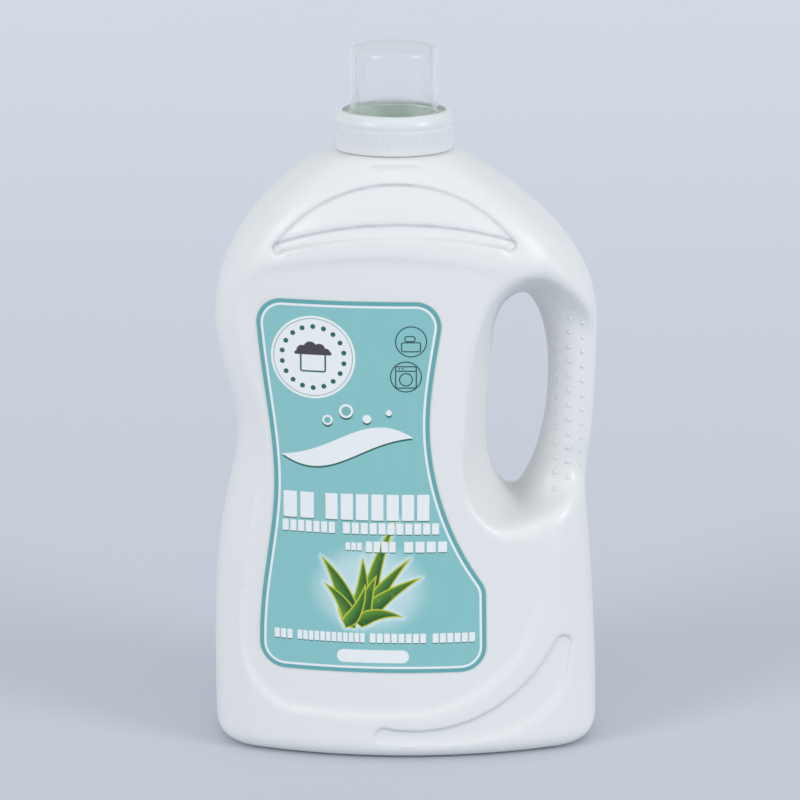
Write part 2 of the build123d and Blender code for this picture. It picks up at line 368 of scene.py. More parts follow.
def applied(piece):
    """Turn the result of a piece's modifiers into its mesh."""
    bpy.context.view_layer.update()
    depsgraph = bpy.context.evaluated_depsgraph_get()
    data = bpy.data.meshes.new_from_object(piece.evaluated_get(depsgraph))
    piece.modifiers.clear()
    piece.data = data


skin = add_piece("bottle_skin", outer_skin(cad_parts["bottle"], neck_land * MM), white_plastic,
                 "bottle")
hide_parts("bottle")
rebuild = skin.modifiers.new("even_squares", "REMESH")
rebuild.mode = "VOXEL"
rebuild.voxel_size = 1.45 * MM
applied(skin)
print("rebuilt skin:", len(skin.data.vertices), "points,", len(skin.data.polygons), "faces")


# %% [markdown]
# ## Shape the skin point by point
#
# With a dense, even skin, further shaping is arithmetic on its points. numpy does it for
# all points at once: a soft ramp says how much each point takes part, and the neighbours'
# average is what a point moves towards when the skin is softened.


# %% Helpers for moving points
def points_of(data):
    """The points of a mesh in millimetres."""
    places = np.zeros(len(data.vertices) * 3)
    data.vertices.foreach_get("co", places)
    return places.reshape(-1, 3) / MM


def ramp(value, start, end):
    """0 before start, 1 past end, with a soft change between them."""
    share = np.clip((value - start) / (end - start), 0, 1)
    return share * share * (3 - 2 * share)


def neighbour_average(data):
    """A function that averages the points of a mesh with their neighbours."""
    edges = np.zeros(len(data.edges) * 2, np.int64)
    data.edges.foreach_get("vertices", edges)
    first, second = edges.reshape(-1, 2).T
    total = len(data.vertices)
    count = np.bincount(first, minlength=total) + np.bincount(second, minlength=total)

    def average(places):
        summed = np.zeros_like(places)
        for axis in range(3):
            summed[:, axis] += np.bincount(first, places[second, axis], total)
            summed[:, axis] += np.bincount(second, places[first, axis], total)
        return summed / count[:, None]

    return average


def soften(places, average, weight, rounds):
    """Move each point towards its neighbours, as far as its weight says."""
    for _ in range(rounds):
        places = places + 0.5 * weight[:, None] * (average(places) - places)
    return places


# %% [markdown]
# ## The stepped recess on the shoulder
#
# The recess across the shoulder is two steps like roof tiles: each floor starts deep under
# an upper edge and rises towards the outer face further down. The construction model gives
# each floor an even depth, so the floors are tilted here, between three arcs that bound them.


# %% Tilt the two floors of the shoulder recess
def circle_through(first, middle, last):
    """Centre and radius of the circle through three places (x, z)."""
    (x1, z1), (x2, z2), (x3, z3) = first, middle, last
    centre = np.linalg.solve([[x2 - x1, z2 - z1], [x3 - x1, z3 - z1]],
                             [(x2 ** 2 - x1 ** 2 + z2 ** 2 - z1 ** 2) / 2,
                              (x3 ** 2 - x1 ** 2 + z3 ** 2 - z1 ** 2) / 2])
    return centre, math.dist(centre, first)


def arc_height(x, first, middle, last):
    """Height at x of the upper half of the circle through three places."""
    centre, radius = circle_through(first, middle, last)
    return centre[1] + np.sqrt(np.maximum(radius ** 2 - (x - centre[0]) ** 2, 0))


upper_arc = ((-61.0, 243.5), (-6.0, 272.7), (50.0, 245.5))
inner_arc = ((-58.0, 246.0), (-6.0, 255.7), (47.0, 247.4))
lower_arc = ((44.5, 243.2), (-4.0, 249.0), (-56.0, 241.8))


def tilt_floors(places):
    """Move the points of both floors out or in, and leave all the others."""
    x, y, z = places.T
    top = arc_height(x, *upper_arc)
    inner = arc_height(x, *inner_arc)
    bottom = arc_height(x, *lower_arc)
    upper_share = np.clip((top - z) / np.maximum(top - inner, 1.0), 0, 1)
    lower_share = np.clip((inner - z) / np.maximum(inner - bottom, 1.0), 0, 1)
    upper_rise = 0.9 * upper_share - 0.5 * (1 - upper_share) ** 2
    lower_rise = 0.2 + 1.7 * lower_share
    rise = upper_rise + ramp(inner - z, -0.8, 0.8) * (lower_rise - upper_rise)
    within = ramp(x, -61, -53) * (1 - ramp(x, 42, 50)) * ramp(np.abs(y), 16, 20)
    within = within * ramp(top - z, -0.6, 1.0) * ramp(z - bottom, -0.8, 0.8)
    moved = places.copy()
    moved[:, 1] += np.sign(y) * within * rise
    return moved


# %% [markdown]
# ## Soften it, more where the plastic is stretched further
#
# The recesses keep fairly crisp edges. The finger bay and both roots of the handle flow
# into the body over many millimetres, because the plastic is stretched furthest there. So
# every point is averaged with its neighbours a few times, and those round the handle often.

# %% Soften the skin
places = points_of(skin.data)
average = neighbour_average(skin.data)
places = tilt_floors(places)
places = soften(places, average, np.ones(len(places)), 3)
x, y, z = places.T
bay_left = 26 + 10 * ((z - 168) / 55) ** 2
handle_zone = ramp(x, bay_left, bay_left + 8) * ramp(z, 98, 112) * (1 - ramp(z, 236, 250))
places = soften(places, average, handle_zone, 20)
upper_root = ramp(x, 56, 70) * ramp(z, 196, 206) * (1 - ramp(z, 234, 246))
places = soften(places, average, upper_root, 70)
lower_root = ramp(x, 50, 66) * ramp(z, 98, 108) * (1 - ramp(z, 134, 146))
places = soften(places, average, lower_root, 60)
print("points softened round the handle:", int((handle_zone > 0.5).sum()))


# %% [markdown]
# ## Where the label lies
#
# The film lies on a part of the panel that is bent to one radius. The radius is checked
# against the film itself, and the outline is read from it: a level cut through the film at
# each height gives its left and right edge.


# %% Read the outline and the bend of the label
def wrap_radius(node):
    """Radius of the film's outer face and the place of its axis, seen from above."""
    film_points = points_of(node.data)
    side = film_points[np.argmin(film_points[:, 0])]
    front = film_points[np.argmin(film_points[:, 1])]
    drop = side[1] - front[1]
    radius = (side[0] ** 2 + drop ** 2) / (2 * drop)
    return radius, front[1] + radius


def cut_outline(node, heights):
    """Left and right edge of the film at each height, in millimetres."""
    film_points = points_of(node.data)
    edges = np.array([edge.vertices[:] for edge in node.data.edges])
    start = film_points[edges[:, 0]]
    end = film_points[edges[:, 1]]
    left = []
    right = []
    for height in heights:
        level = min(max(height, label_bottom + 0.01), label_top - 0.01)
        crossing = (start[:, 2] - level) * (end[:, 2] - level) < 0
        a = start[crossing]
        b = end[crossing]
        share = (level - a[:, 2]) / (b[:, 2] - a[:, 2])
        at = a[:, 0] + share * (b[:, 0] - a[:, 0])
        left.append(at.min())
        right.append(at.max())
    return np.array(left), np.array(right)


film = 0.1
corner = 12.0
film_radius = 203.6
film_axis = film_radius - film - (half_depth - panel_step)
measured = wrap_radius(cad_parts["front_label"])
print("bend and axis:", film_radius, film_axis, "measured on the film:", measured)
ease = corner * (1 - np.cos(np.linspace(0, math.pi / 2, 20)))
straight = np.arange(label_bottom + corner + 1, label_top - corner, 1.0)
heights = np.concatenate([label_bottom + ease, straight, (label_top - ease)[::-1]])
left_edge, right_edge = cut_outline(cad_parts["front_label"], heights)
print(f"label: x {left_edge.min():.1f} to {right_edge.max():.1f} mm, {len(heights)} rows")


# %% Press the panel true where the film lies, and mark the crease under the cap
def press_panel(places):
    """Points under a film go to the panel's radius, a hair below the film."""
    x, y, z = places.T
    left = np.interp(z, heights, left_edge)
    right = np.interp(z, heights, right_edge)
    room = np.minimum.reduce([x - left, right - x, z - label_bottom, label_top - z])
    weight = ramp(room, -3.0, -0.8) * (np.abs(y) > half_depth / 2)
    side = np.sign(y)
    below_film = 0.12
    depth = np.sqrt((film_radius - film - below_film) ** 2 - x ** 2) - film_axis
    moved = places.copy()
    moved[:, 1] += weight * (side * depth - y)
    return moved


def mark_crease(places):
    """A short soft crease in the shoulder, in front of the neck."""
    x, y, z = places.T
    along = ramp(x, -21, -15) * (1 - ramp(x, 3, 9))
    dent = np.exp(-((z - crease_height) / 1.1) ** 2) * along * (y < 0)
    moved = places.copy()
    moved[:, 1] += dent
    moved[:, 2] -= 0.5 * dent
    return moved


softened = places
places = press_panel(places)
places = mark_crease(places)
print(f"furthest move: {np.abs(places - softened).max():.2f} mm")

# %% [markdown]
# ## Keep the recess edges crisp
#
# A mesh this coarse rounds a 1 mm step over several millimetres. So each point also stores
# how far it is from the recess edges, and the plastic turns that number into a narrow wall.
# A distance changes evenly from point to point, which is why a coarse mesh can carry it.


# %% Measure how far each point is from the recess edges
def arc_points(first, middle, last, count=24):
    """Places along the arc through three places."""
    centre, radius = circle_through(first, middle, last)
    angles = [math.atan2(z - centre[1], x - centre[0]) for x, z in (first, middle, last)]
    first_angle, _, last_angle = np.unwrap(angles)
    turn = np.linspace(first_angle, last_angle, count)
    return np.stack([centre[0] + radius * np.cos(turn), centre[1] + radius * np.sin(turn)], axis=1)


def curve_points(through, count=8):
    """Places along a smooth curve through the given places."""
    stops = np.array([through[0]] + through + [through[-1]])
    made = []
    for before, start, end, after in zip(stops, stops[1:], stops[2:], stops[3:]):
        for t in np.linspace(0, 1, count, endpoint=False):
            slope = (end - before) * t + (2 * before - 5 * start + 4 * end - after) * t ** 2
            made.append(start + (slope + (3 * start - before - 3 * end + after) * t ** 3) / 2)
    return np.array(made)


def signed_distance(x, z, outline):
    """Distance from a closed outline in millimetres, negative inside it."""
    nearest = np.full(len(x), np.inf)
    inside = np.zeros(len(x), bool)
    for (ax, az), (bx, bz) in zip(outline, np.roll(outline, -1, axis=0)):
        dx = bx - ax
        dz = bz - az
        share = np.clip(((x - ax) * dx + (z - az) * dz) / max(dx * dx + dz * dz, 1e-9), 0, 1)
        nearest = np.minimum(nearest, np.hypot(x - ax - share * dx, z - az - share * dz))
        if abs(dz) > 1e-9:
            inside ^= ((az > z) != (bz > z)) & (x < ax + (z - az) * dx / dz)
    return np.where(inside, -nearest, nearest)


shoulder_outline = np.concatenate([
    arc_points(*upper_arc, 48),
    arc_points((50.0, 245.5), (49.0, 242.6), (44.5, 243.2), 8),
    arc_points(*lower_arc, 40),
    arc_points((-56.0, 241.8), (-60.4, 241.2), (-61.0, 243.5), 8),
])
corner_outline = np.concatenate([
    arc_points((-11.0, 16.8), (44.0, 27.0), (70.0, 56.5), 40),
    arc_points((70.0, 56.5), (75.0, 57.5), (77.2, 50.0), 10),
    curve_points([(77.2, 50.0), (73.5, 31.5), (57.0, 14.8), (32.0, 8.6), (6.0, 7.8), (-9.0, 8.0)]),
    arc_points((-9.0, 8.0), (-15.0, 12.5), (-11.0, 16.8), 10),
])
far_away = 9.0
x, y, z = places.T
recess_edge = np.minimum(signed_distance(x, z, shoulder_outline), signed_distance(x, z, corner_outline))
ledge_edge = np.where(z > 200, z - arc_height(x, *inner_arc), far_away)
for name, value in (("recess_edge", recess_edge), ("ledge_edge", ledge_edge)):
    stored = skin.data.attributes.new(name, "FLOAT", "POINT")
    stored.data.foreach_set("value", np.clip(value, -far_away, far_away))
print("points inside a recess:", int((recess_edge < 0).sum()))


# %% Cut the skin at the root of the neck and write the points back
skin.data.vertices.foreach_set("co", (places * MM).ravel())
cut_height = 283.0
mesh = bmesh.new()
mesh.from_mesh(skin.data)
everything = mesh.verts[:] + mesh.edges[:] + mesh.faces[:]
level = (0, 0, cut_height * MM)
bmesh.ops.bisect_plane(mesh, geom=everything, plane_co=level, plane_no=(0, 0, 1), clear_outer=True)
mesh.to_mesh(skin.data)
surface = BVHTree.FromBMesh(mesh)
mesh.free()
skin.data.polygons.foreach_set("use_smooth", [True] * len(skin.data.polygons))
print("bottle skin:", len(skin.data.polygons), "faces")

# %% [markdown]
# ## Grip dots
#
# Three rows of small domes run down the handle, front and back, so that a wet
# hand doesn't slip. Each one stands square on the handle's surface: a ray from the front
# finds the place and the direction of the surface there, and a small dome is put on it.


# %% The dome and the rows
def dome(place, normal, radius, height, segments=12, rings=4):
    """Points and faces of a small dome that is sunk a little into the surface."""
    turn = Vector(normal).to_track_quat("Z", "Y")
    sunk = 0.12 * MM
    places = []
    for ring in range(rings):
        tilt = math.pi / 2 * ring / rings
        for k in range(segments):
            angle = 2 * math.pi * k / segments
            local = Vector((radius * math.cos(tilt) * math.cos(angle),
                            radius * math.cos(tilt) * math.sin(angle),
                            height * math.sin(tilt) - sunk))
            places.append(Vector(place) + turn @ local)
    places.append(Vector(place) + turn @ Vector((0, 0, height - sunk)))
    faces = [tuple(reversed(range(segments)))]
    for ring in range(rings - 1):
        for k in range(segments):
            here = ring * segments
            after = (k + 1) % segments
            faces.append((here + k, here + after, here + segments + after, here + segments + k))
    last = (rings - 1) * segments
    for k in range(segments):
        faces.append((last + k, last + (k + 1) % segments, len(places) - 1))
    return places, faces


# x and height of the top, x and height of the foot, and number of dots of each row
dot_rows = [(69.5, 215.5, 69.8, 124.3, 14), (75.5, 212.7, 75.7, 129.1, 13), (81.7, 203.2, 82.1, 133.5, 11)]
dot_radius = 1.25 * MM
dot_height = 0.75 * MM
dot_points = []
dot_faces = []
for top_x, top_z, foot_x, foot_z, count in dot_rows:
    for share in np.linspace(0, 1, count):
        for side in (-1, 1):
            x = top_x + share * (foot_x - top_x)
            z = top_z + share * (foot_z - top_z)
            start = Vector((x * MM, side * 2 * half_depth * MM, z * MM))
            place, normal, _, _ = surface.ray_cast(start, Vector((0, -side, 0)))
            more_points, more_faces = dome(place, normal, dot_radius, dot_height)
            offset = len(dot_points)
            dot_points += more_points
            dot_faces += [tuple(offset + i for i in face) for face in more_faces]
dots_data = bpy.data.meshes.new("grip_dots")
dots_data.from_pydata(dot_points, [], dot_faces)
dots_data.polygons.foreach_set("use_smooth", [len(face) < 10 for face in dot_faces])
dots = add_piece("grip_dots", dots_data, white_plastic, "bottle")
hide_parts("bottle")
print("grip dots:", 2 * sum(row[-1] for row in dot_rows))

# %% [markdown]
# ## Turned pieces
#
# The neck and the cap are round, so each is one closed section turned about the neck's axis.
# Building the turned grid in code lets the radius change with the angle too: that is how a
# rib or a thread is added, and a Screw modifier can't do it.


# %% Turn a section about the neck's axis
def turned(name, section, steps, relief=None):
    """A closed ring, or a closed pot where the section starts and ends on the axis."""
    section = np.array(section, float)
    angle = np.linspace(0, 2 * math.pi, steps, endpoint=False)[None, :]
    radius = np.repeat(section[:, 0][:, None], steps, axis=1)
    height = np.repeat(section[:, 1][:, None], steps, axis=1)
    if relief is not None:
        radius = radius + relief(radius, height, angle)
    grid = np.stack([neck_x + radius * np.cos(angle), radius * np.sin(angle), height], axis=-1)
    rows = len(section)
    faces = []
    for row in range(rows - 1 if section[0, 0] == 0 else rows):
        here = row * steps
        there = (row + 1) % rows * steps
        for k in range(steps):
            after = (k + 1) % steps
            faces.append((here + k, here + after, there + after, there + k))
    data = bpy.data.meshes.new(name)
    data.from_pydata((grid.reshape(-1, 3) * MM).tolist(), [], faces)
    mesh = bmesh.new()
    mesh.from_mesh(data)
    bmesh.ops.remove_doubles(mesh, verts=mesh.verts, dist=1e-7)
    bmesh.ops.recalc_face_normals(mesh, faces=mesh.faces)
    for face in mesh.faces:
        face.smooth = True
    mesh.to_mesh(data)
    mesh.free()
    print(name, "has", len(data.polygons), "faces")
    return data


def run(start, end, length):
    """Points from start up to, not including, end, at most length apart."""
    count = max(1, math.ceil(math.dist(start, end) / length))
    shares = np.arange(count)[:, None] / count
    return list(np.array(start) + (np.array(end) - np.array(start)) * shares)


def bend(centre, radius, start, end, count=8):
    """Points on an arc from one angle to another, in degrees, without the last one."""
    angles = np.radians(np.linspace(start, end, count, endpoint=False))
    return [np.array((centre[0] + radius * math.cos(a), centre[1] + radius * math.sin(a))) for a in angles]


# %% [markdown]
# ## Threads
#
# A screw thread is a ridge that climbs by one pitch in each turn. At a given angle and
# height its phase says how far from the middle of the ridge a point is, so the ridge is a
# plain function of the phase. Its ends fade out, as they do in a mould. The cap's thread has
# the same pitch and lies half a pitch away from the neck's, so they pass each other.

# %% The ridge of a thread
thread_pitch = 6.0


def thread(height, angle, low, high, shift):
    """Height of the ridge from 0 to 1, between two levels, moved up by shift pitches."""
    climb = (height - neck_land) / thread_pitch - angle / (2 * math.pi) - shift
    beside = np.abs((climb + 0.5) % 1 - 0.5) * thread_pitch
    ridge = 1 - ramp(beside, 0.35, 1.15)
    return ridge * ramp(height, low, low + 1.4) * (1 - ramp(height, high - 1.4, high))


# %% The neck of the bottle
neck_root = 281.2
root_radius = neck_radius + 2.4
lip_round = 0.5
thread_depth = 0.85


def neck_relief(radius, height, angle):
    """The thread, on the outside only."""
    outside = (radius > neck_radius - 0.1) & (height > 284.3)
    return np.where(outside, thread_depth * thread(height, angle, 285.0, 296.8, 0.0), 0.0)


neck_section = (
    run((root_radius, neck_root), (neck_radius + 1.5, 282.3), 0.5)
    + run((neck_radius + 1.5, 282.3), (neck_radius + 0.9, 283.0), 0.4)
    + run((neck_radius + 0.9, 283.0), (neck_radius, 284.6), 0.5)
    + run((neck_radius, 284.6), (neck_radius, neck_land - lip_round), 0.3)
    + bend((neck_radius - lip_round, neck_land - lip_round), lip_round, 0, 90, 5)
    + run((neck_radius - lip_round, neck_land), (neck_bore + lip_round, neck_land), 0.6)
    + bend((neck_bore + lip_round, neck_land - lip_round), lip_round, 90, 180, 5)
    + run((neck_bore, neck_land - lip_round), (neck_bore, 276.0), 2.0)
    + run((neck_bore, 276.0), (neck_bore + 1.4, 276.0), 1.0)
    + run((neck_bore + 1.4, 276.0), (root_radius, neck_root), 2.0)
)
neck = add_piece("bottle_neck", turned("bottle_neck", neck_section, 160, neck_relief), neck_plastic,
                 "bottle")
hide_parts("bottle")

# %% [markdown]
# ## The dosing cap
#
# The cap is one clear moulding: a ribbed skirt with the thread inside, a flat deck, and the
# dosing cup, whose pouring rim hangs down into the neck. Its section is one closed line from
# the top of the cup round the outside and back up the inside, so the wall has its real
# thickness, which matters for how a clear piece bends the light.

# %% The section of the cap and its ribs
skirt_bottom = 282.7
sleeve_bottom = 284.5
sleeve_round = cup_wall / 2
cap_round = 4.8
corner_round = 1.6
cup_round = 4.6
skirt_bore = cap_radius - cap_wall
edge = 0.4
rib_count = 120
rib_depth = 0.28


def cap_relief(radius, height, angle):
    """Ribs and a groove on the outside of the skirt, and the thread on its inside."""
    ribs = (0.5 - 0.5 * np.cos(rib_count * angle)) ** 2
    band = ramp(height, skirt_bottom + 2.0, skirt_bottom + 2.8) * (1 - ramp(height, 292.0, 292.8))
    groove = 0.3 * np.exp(-((height - 294.2) / 0.45) ** 2)
    outer = radius > cap_radius - 0.05
    inner = (np.abs(radius - skirt_bore) < 0.05) & (height < seal_top - corner_round)
    inside_thread = 0.8 * thread(height, angle, 284.2, 296.2, 0.5)
    return np.where(outer, -rib_depth * ribs * band - groove, 0.0) - np.where(inner, inside_thread, 0.0)


cap_section = (
    run((0, cap_top), (cup_radius - cup_round, cap_top), 3.0)
    + bend((cup_radius - cup_round, cap_top - cup_round), cup_round, 90, 0, 12)
    + run((cup_radius, cap_top - cup_round), (cup_radius, cap_deck + edge), 3.0)
    + bend((cup_radius + edge, cap_deck + edge), edge, 180, 270, 4)
    + run((cup_radius + edge, cap_deck), (cap_radius - cap_round, cap_deck), 1.0)
    + bend((cap_radius - cap_round, cap_deck - cap_round), cap_round, 90, 0, 10)
    + run((cap_radius, cap_deck - cap_round), (cap_radius, skirt_bottom + edge), 0.7)
    + bend((cap_radius - edge, skirt_bottom + edge), edge, 0, -90, 4)
    + bend((skirt_bore + edge, skirt_bottom + edge), edge, -90, -180, 4)
    + run((skirt_bore, skirt_bottom + edge), (skirt_bore, seal_top - corner_round), 0.35)
    + bend((skirt_bore - corner_round, seal_top - corner_round), corner_round, 0, 90, 8)
    + run((skirt_bore - corner_round, seal_top), (cup_radius, seal_top), 2.0)
    + run((cup_radius, seal_top), (cup_radius, sleeve_bottom + sleeve_round), 3.0)
    + bend((cup_radius - sleeve_round, sleeve_bottom + sleeve_round), sleeve_round, 0, -180, 8)
    + run((cup_bore, sleeve_bottom + sleeve_round), (cup_bore, cap_top - cup_round), 3.0)
    + bend((cup_radius - cup_round, cap_top - cup_round), cup_round - cup_wall, 0, 90, 10)
    + run((cup_radius - cup_round, cap_top - cup_wall), (0, cap_top - cup_wall), 3.0)
    + [np.array((0.0, cap_top - cup_wall))]
)
cap = add_piece("dosing_cap_moulding", turned("dosing_cap_moulding", cap_section, 480, cap_relief),
                cap_plastic, "cap")
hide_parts("dosing_cap")

# %% [markdown]
# ## The sealing ring
#
# The ring is punched from foamed sheet, so its cut edges are slightly rounded. It lies
# between the top of the neck and the underside of the cap's deck.

# %% The sealing ring
ring_outer = (ring_high.x - ring_low.x) / 2 / MM
ring_inner = cup_radius + 0.3
ring_round = 0.3
ring_section = (
    run((ring_inner + ring_round, neck_land), (ring_outer - ring_round, neck_land), 1.5)
    + bend((ring_outer - ring_round, neck_land + ring_round), ring_round, -90, 0, 4)
    + bend((ring_outer - ring_round, seal_top - ring_round), ring_round, 0, 90, 4)
    + run((ring_outer - ring_round, seal_top), (ring_inner + ring_round, seal_top), 1.5)
    + bend((ring_inner + ring_round, seal_top - ring_round), ring_round, 90, 180, 4)
    + bend((ring_inner + ring_round, neck_land + ring_round), ring_round, 180, 270, 4)
)
seal = add_piece("punched_seal_ring", turned("punched_seal_ring", ring_section, 160),
                 foam, "seal")
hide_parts("seal_ring")

# %% [markdown]
# ## The label films
#
# Each label is a film a tenth of a millimetre thick, cut with rounded corners and wrapped
# on the bowed panel. A grid of narrow rows from edge to edge follows the cut outline, and
# each point stores its distance from the nearest edge, which the print needs for its border.


# %% Weave the grid of a film
def edge_gap(x, z):
    """Distance of each point from the cut outline, in millimetres."""
    outline_x = np.concatenate([left_edge, right_edge[::-1], left_edge[:1]])
    outline_z = np.concatenate([heights, heights[::-1], heights[:1]])
    nearest = np.full(x.shape, 1e9)
    for k in range(len(outline_x) - 1):
        along = np.array((outline_x[k + 1] - outline_x[k], outline_z[k + 1] - outline_z[k]))
        length = max(along @ along, 1e-9)
        share = np.clip(((x - outline_x[k]) * along[0] + (z - outline_z[k]) * along[1]) / length, 0, 1)
        away = np.hypot(x - outline_x[k] - share * along[0], z - outline_z[k] - share * along[1])
        nearest = np.minimum(nearest, away)
    return nearest


def film_mesh(name, side):
    """The film as two grids, its outer and its inner face, joined round the rim."""
    rows = len(heights)
    columns = 120
    across = np.linspace(0, 1, columns)[None, :]
    x = left_edge[:, None] + (right_edge - left_edge)[:, None] * across
    z = np.repeat(heights[:, None], columns, axis=1)
    layers = []
    for radius in (film_radius, film_radius - film):
        y = side * (np.sqrt(radius ** 2 - x ** 2) - film_axis)
        layers.append(np.stack([x, y, z], axis=-1).reshape(-1, 3))
    faces = []
    below = rows * columns
    for row in range(rows - 1):
        for k in range(columns - 1):
            a = row * columns + k
            faces.append((a, a + 1, a + columns + 1, a + columns))
            faces.append((below + a, below + a + columns, below + a + columns + 1, below + a + 1))
    rim = (list(range(columns))
           + [row * columns + columns - 1 for row in range(1, rows)]
           + [(rows - 1) * columns + k for k in range(columns - 2, -1, -1)]
           + [row * columns for row in range(rows - 2, 0, -1)])
    for a, b in zip(rim, rim[1:] + rim[:1]):
        faces.append((a, below + a, below + b, b))
    data = bpy.data.meshes.new(name)
    data.from_pydata((np.concatenate(layers) * MM).tolist(), [], faces)
    gap = np.tile(edge_gap(x, z).ravel(), 2)
    data.attributes.new("edge_gap", "FLOAT", "POINT").data.foreach_set("value", gap)
    if side > 0:
        data.flip_normals()
    data.polygons.foreach_set("use_smooth", [True] * len(faces))
    data.set_sharp_from_angle(angle=math.radians(50))
    print(name, "has", len(faces), "faces")
    return data


# %% [markdown]
# ## Printing the labels
#
# Print is flat shapes of ink. Each shape is a signed distance: negative inside, positive
# outside, in millimetres, worked out from the point's place on the label. A soft threshold
# turns the distance into a mask, and the mask lays one colour over another. Words are left
# out, and rows of plain blocks stand where a label carries its text.


# %% Signed distances of simple shapes
class Print(Finish):
    """A printed film: inks are laid one over another on the colour of its field."""

    def __init__(self, name, **constants):
        super().__init__(name, **constants)
        self.x, _, self.z = self.axes()
        self.colour = None

    def disc(self, x, z, radius):
        return ((self.x - x) ** 2 + (self.z - z) ** 2) ** 0.5 - radius

    def block(self, x, z, wide, high, corner, at=None):
        """A rectangle with round corners about (x, z), or about another x that varies."""
        along = at if at is not None else self.x - x
        beside_x = (abs(along) - (wide / 2 - corner)).larger(0.0)
        beside_z = (abs(self.z - z) - (high / 2 - corner)).larger(0.0)
        return (beside_x ** 2 + beside_z ** 2) ** 0.5 - corner

    def leaf(self, foot, tip, width, sag=0.0):
        """A leaf from foot to tip: broad below, pointed above, bowed sideways by sag."""
        length = math.dist(foot, tip)
        ux = (tip[0] - foot[0]) / length
        uz = (tip[1] - foot[1]) / length
        from_x = self.x - foot[0]
        from_z = self.z - foot[1]
        along = (from_x * ux + from_z * uz) / length
        share = along.larger(0.0).smaller(1.0)
        side = from_z * ux - from_x * uz + share * (1 - share) * (4 * sag)
        past = (abs(along - 0.5) - 0.5).larger(0.0) * length
        half = (1 - share) ** 0.8 * (share * 1.5 + 0.8).smaller(1.0) * (width / 2)
        return abs(side) + past - half, side

    def ink(self, mask, colour):
        self.colour = self.blend(mask, self.colour, colour)

    def ring(self, distance, width, colour):
        self.ink(self.inside(abs(distance) - width / 2, 0.12), colour)


# %% Inks
teal = (0.115, 0.365, 0.385)
field = (0.190, 0.425, 0.437)
field_deep = (0.205, 0.475, 0.490)
field_light = (0.250, 0.535, 0.545)
paper_white = (0.78, 0.80, 0.81)
leaf_green = (0.010, 0.085, 0.014)
leaf_bright = (0.110, 0.290, 0.018)
leaf_fleck = (0.12, 0.33, 0.04)
leaf_edge = (0.50, 0.52, 0.020)
glow_pale = (0.70, 0.80, 0.84)
shadow_green = (0.012, 0.115, 0.085)
line_dark = (0.02, 0.06, 0.06)
cloth_dark = (0.055, 0.045, 0.060)
print("field of the films:", field)


def film_base(name):
    """A satin film with its field, its white line and its outer border."""
    print_ = Print(name, IOR=1.5)
    grain = print_.noise(700.0, 3.0, 0.7)
    fibres = print_.noise(260.0, 2.0, 0.6, (1, 1, 0.25))
    print_.colour = print_.blend(grain * 0.6 + fibres * 0.4, field_deep, field_light)
    gap = print_.stored("edge_gap")
    print_.ink(print_.inside(gap - 3.2, 0.12), paper_white)
    print_.ink(print_.inside(gap - 2.1, 0.12), teal)
    print_.ink(print_.inside(gap - 0.18, 0.08), (0.52, 0.62, 0.55))
    return print_, grain


def finish_film(print_, grain):
    """Satin gloss over the finished print, and the grain of the film."""
    print_.paint("Base Color", print_.colour)
    print_.paint("Roughness", 0.36 + 0.10 * print_.noise(120.0))
    print_.bump(grain, 0.00002, 0.35)
    return print_.material


# %% [markdown]
# ## The front print
#
# From the top: a badge with a washing bowl, two care symbols, a plain sweep with bubbles
# where the name would be, rows of blocks for text, a plant with pointed leaves, and a pill
# shape at the foot.


# %% Badge and care symbols
def badge(print_):
    """A white disc with a bowl full of washing and a ring of dots."""
    middle_x = -42.5
    middle_z = 193.7
    dot_count = 18
    dot_circle = 14.3
    away = print_.disc(middle_x, middle_z, 0.0)
    print_.ink(print_.inside(away - 19.3), paper_white)
    print_.ring(away - 18.0, 0.35, (0.20, 0.36, 0.34))
    bowl = print_.block(middle_x, 191.2, 12.0, 9.0, 1.2)
    print_.ink(print_.inside(bowl), shadow_green)
    print_.ink(print_.inside(bowl + 0.8), paper_white)
    heap = [(-47.5, 196.6, 2.6), (-43.8, 198.0, 3.0), (-39.6, 197.4, 2.7), (-36.6, 196.0, 2.0)]
    for x, z, radius in heap:
        print_.ink(print_.inside(print_.disc(x, z, radius).larger(195.4 - print_.z)), cloth_dark)
    print_.ink(print_.inside(print_.block(middle_x, 195.6, 17.0, 1.6, 0.7)), cloth_dark)
    for k in range(dot_count):
        angle = 2 * math.pi * (k + 0.5) / dot_count
        x = middle_x + dot_circle * math.cos(angle)
        z = middle_z + dot_circle * math.sin(angle)
        print_.ink(print_.inside(print_.disc(x, z, 1.15)), shadow_green)


def care_symbols(print_):
    """A tub and a washing machine, each in an outlined disc."""
    line = 0.55
    outlines = [
        print_.disc(2.1, 201.9, 7.0), print_.disc(-0.2, 185.5, 7.0),
        print_.block(2.1, 199.4, 8.6, 4.2, 0.8), print_.block(1.6, 203.2, 4.6, 2.4, 1.1),
        print_.block(-0.2, 185.3, 9.4, 10.0, 0.8), print_.disc(-0.2, 184.2, 2.9),
    ]
    for outline in outlines:
        print_.ring(outline, line, line_dark)
    print_.ink(print_.inside(print_.block(-0.2, 188.2, 9.0, line, 0.15), 0.1), line_dark)
    for x in (-3.2, -1.6):
        print_.ink(print_.inside(print_.disc(x, 189.3, 0.4)), line_dark)


